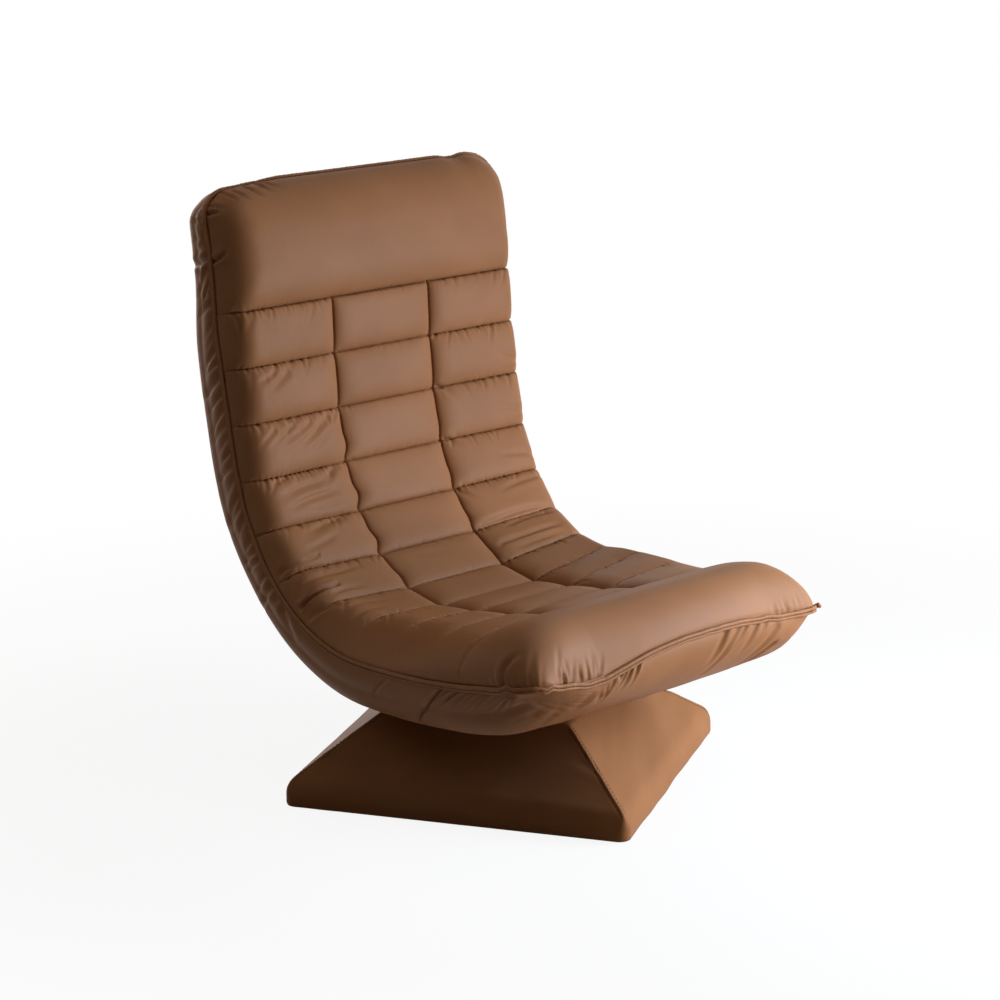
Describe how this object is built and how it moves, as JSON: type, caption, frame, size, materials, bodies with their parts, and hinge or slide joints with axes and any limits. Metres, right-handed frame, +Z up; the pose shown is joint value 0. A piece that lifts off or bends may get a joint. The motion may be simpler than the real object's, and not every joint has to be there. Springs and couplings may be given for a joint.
{
  "type": "swivel floor chair",
  "caption": "Low armless lounge chair: quilted one-piece seat and folding back with a tilting head section, turning on a square padded base.",
  "frame": {"origin": "centre of the base's underside on the floor, on the swivel axis", "axes": "+Z up; the chair's front faces -Y and its left side is +X; the square base is turned 28.6 degrees about +Z at rest"},
  "size_m": [0.664, 0.7212, 0.8584],
  "materials": {
    "coated_cloth": "satin",
    "elastic_strap": "matte",
    "nonslip_cloth": "matte",
    "pine": "matte",
    "hardboard": "matte",
    "black_steel": "satin",
    "bright_steel": "polished",
    "nylon": "matte",
    "zinc_steel": "satin"
  },
  "bodies": {
    "base": {"base_cover": "coated_cloth", "base_floor_frame": "pine", "base_leg_1": "pine", "base_leg_2": "pine", "base_leg_3": "pine", "base_leg_4": "pine", "base_nonslip_sheet": "nonslip_cloth", "base_side_boards": "hardboard", "base_top_plate": "zinc_steel", "swivel_lower_nuts": "zinc_steel", "swivel_lower_plate": "zinc_steel", "swivel_lower_screws": "zinc_steel"},
    "ball_ring": {"swivel_ball_cage": "nylon", "swivel_balls": "bright_steel"},
    "seat": {"lumbar_cushion": "coated_cloth", "lumbar_rear_cover": "coated_cloth", "recline_arm_left": "zinc_steel", "recline_arm_right": "zinc_steel", "seat_cross_rail_front": "black_steel", "seat_cross_rail_rear": "black_steel", "seat_cushion": "coated_cloth", "seat_frame": "black_steel", "seat_rear_cover": "coated_cloth", "seat_straps": "elastic_strap", "swivel_hollow_rivet": "zinc_steel", "swivel_spacers": "zinc_steel", "swivel_upper_nuts": "zinc_steel", "swivel_upper_plate": "zinc_steel", "swivel_upper_screws": "zinc_steel"},
    "backrest": {"back_cushion": "coated_cloth", "back_frame": "black_steel", "back_rear_cover": "coated_cloth", "back_straps": "elastic_strap", "head_arm_left": "zinc_steel", "head_arm_right": "zinc_steel", "neck_cushion": "coated_cloth", "neck_rear_cover": "coated_cloth", "recline_cheeks_left": "zinc_steel", "recline_cheeks_right": "zinc_steel", "recline_pins_left": "zinc_steel", "recline_pins_right": "zinc_steel", "recline_rivet_left": "zinc_steel", "recline_rivet_right": "zinc_steel", "recline_spring_left": "zinc_steel", "recline_spring_right": "zinc_steel"},
    "plunger_right": {"recline_plunger_right": "zinc_steel"},
    "plunger_left": {"recline_plunger_left": "zinc_steel"},
    "headrest": {"head_cheeks_left": "zinc_steel", "head_cheeks_right": "zinc_steel", "head_cushion": "coated_cloth", "head_frame": "black_steel", "head_rear_cover": "coated_cloth", "head_rivets": "zinc_steel", "head_washers": "nylon"}
  },
  "joints": [
    {"name": "swivel", "type": "hinge", "parent": "base", "child": "seat", "pos_m": [0, 0, 0.1282], "axis": [0, 0, 1], "continuous": true},
    {"name": "ball_ring_turn", "type": "hinge", "parent": "base", "child": "ball_ring", "pos_m": [0, 0, 0.1282], "axis": [0, 0, 1], "continuous": true},
    {"name": "back_recline", "type": "hinge", "parent": "seat", "child": "backrest", "pos_m": [0, 0.1415, 0.23284], "axis": [-1, 0, 0], "range_deg": [-30, 60], "deforming": ["lumbar_cushion", "lumbar_rear_cover"]},
    {"name": "head_tilt", "type": "hinge", "parent": "backrest", "child": "headrest", "pos_m": [0, 0.33144, 0.74433], "axis": [-1, 0, 0], "range_deg": [-35, 10], "deforming": ["neck_cushion", "neck_rear_cover"]},
    {"name": "plunger_right_lift", "type": "slide", "parent": "backrest", "child": "plunger_right", "axis": [0, 0.866, 0.5], "range_m": [0, 0.0028], "stiffness_N_per_m": 500, "deforming": ["recline_spring_right"]},
    {"name": "plunger_left_lift", "type": "slide", "parent": "backrest", "child": "plunger_left", "axis": [0, 0.866, 0.5], "range_m": [0, 0.0028], "stiffness_N_per_m": 500, "deforming": ["recline_spring_left"]}
  ],
  "couplings": [
    {"joint": "ball_ring_turn", "follows": "swivel", "ratio": 0.5}
  ]
}
